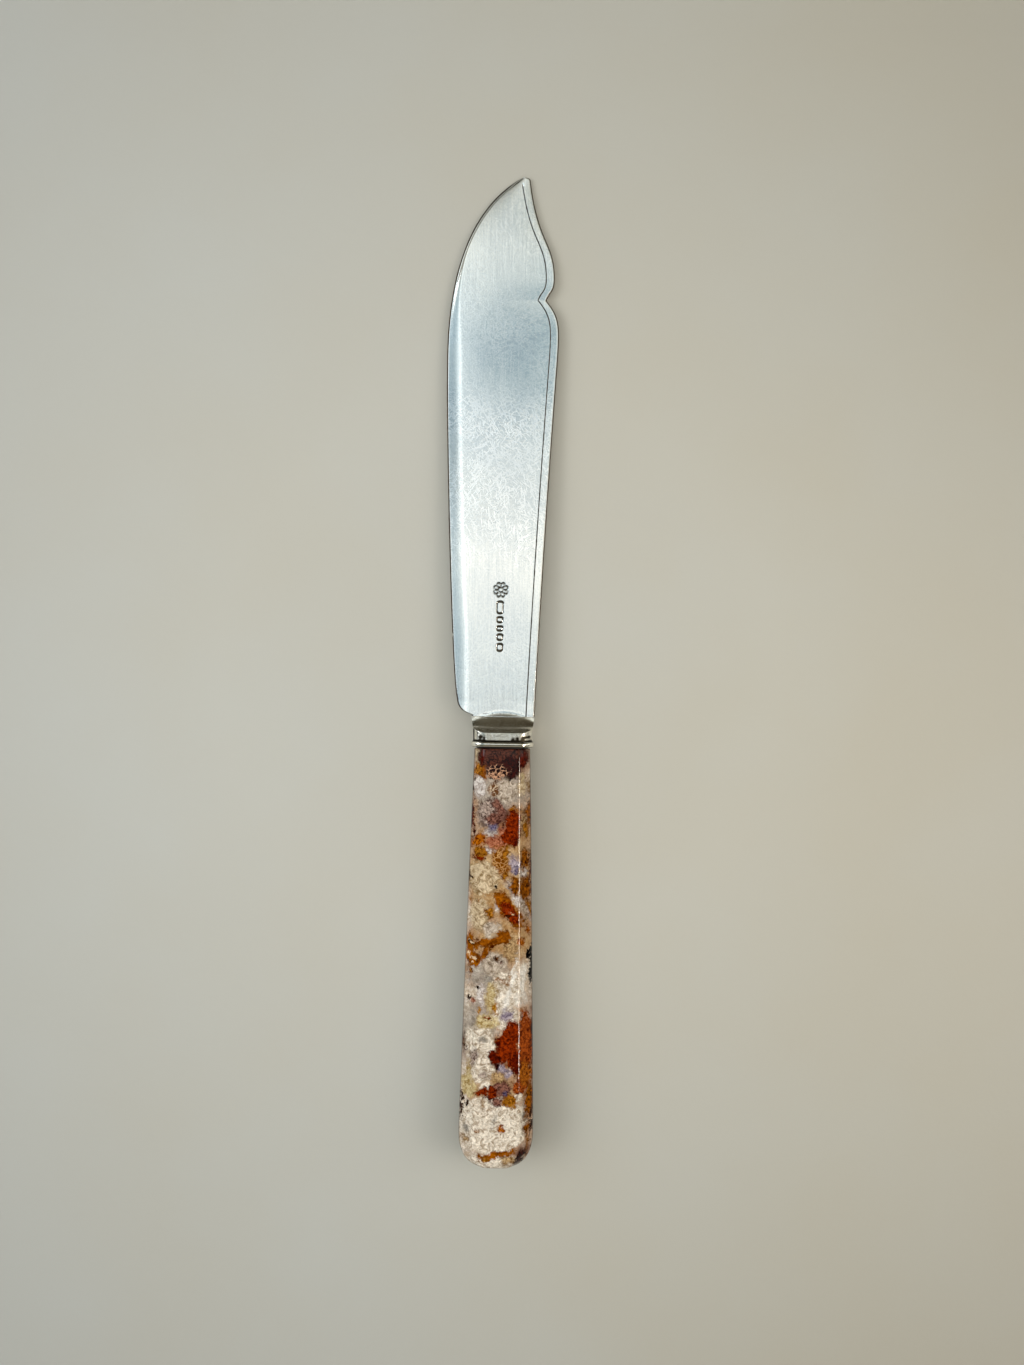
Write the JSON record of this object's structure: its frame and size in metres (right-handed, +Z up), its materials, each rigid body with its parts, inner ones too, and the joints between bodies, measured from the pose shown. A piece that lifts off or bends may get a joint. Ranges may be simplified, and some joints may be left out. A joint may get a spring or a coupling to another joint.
{
  "type": "fish knife",
  "caption": "Table fish knife: broad blunt silver blade with a notched back and a bevelled belly, coved bolster with a bead, and a tapered octagonal agate handle on a hidden tang.",
  "frame": {"origin": "on the table under the middle of the knife's box, with the knife lying on its bead and its tip", "axes": "+Y from the butt to the tip, +X towards the notched back of the blade, +Z up"},
  "size_m": [0.0236, 0.2094, 0.0123],
  "materials": {
    "silver_blade": "worn polished silver with fine scratches",
    "silver_bolster": "polished silver, tarnished in the corners",
    "silver_bead": "polished silver",
    "tang_steel": "forged, dull",
    "cement": "dark rosin cement",
    "agate": "polished agate, white with rust, ochre and violet patches"
  },
  "bodies": {
    "root": {"blade": "silver_blade", "bolster": "silver_bolster", "collar_bead": "silver_bead", "tang": "tang_steel", "tang_cement": "cement", "handle": "agate"}
  },
  "joints": []
}
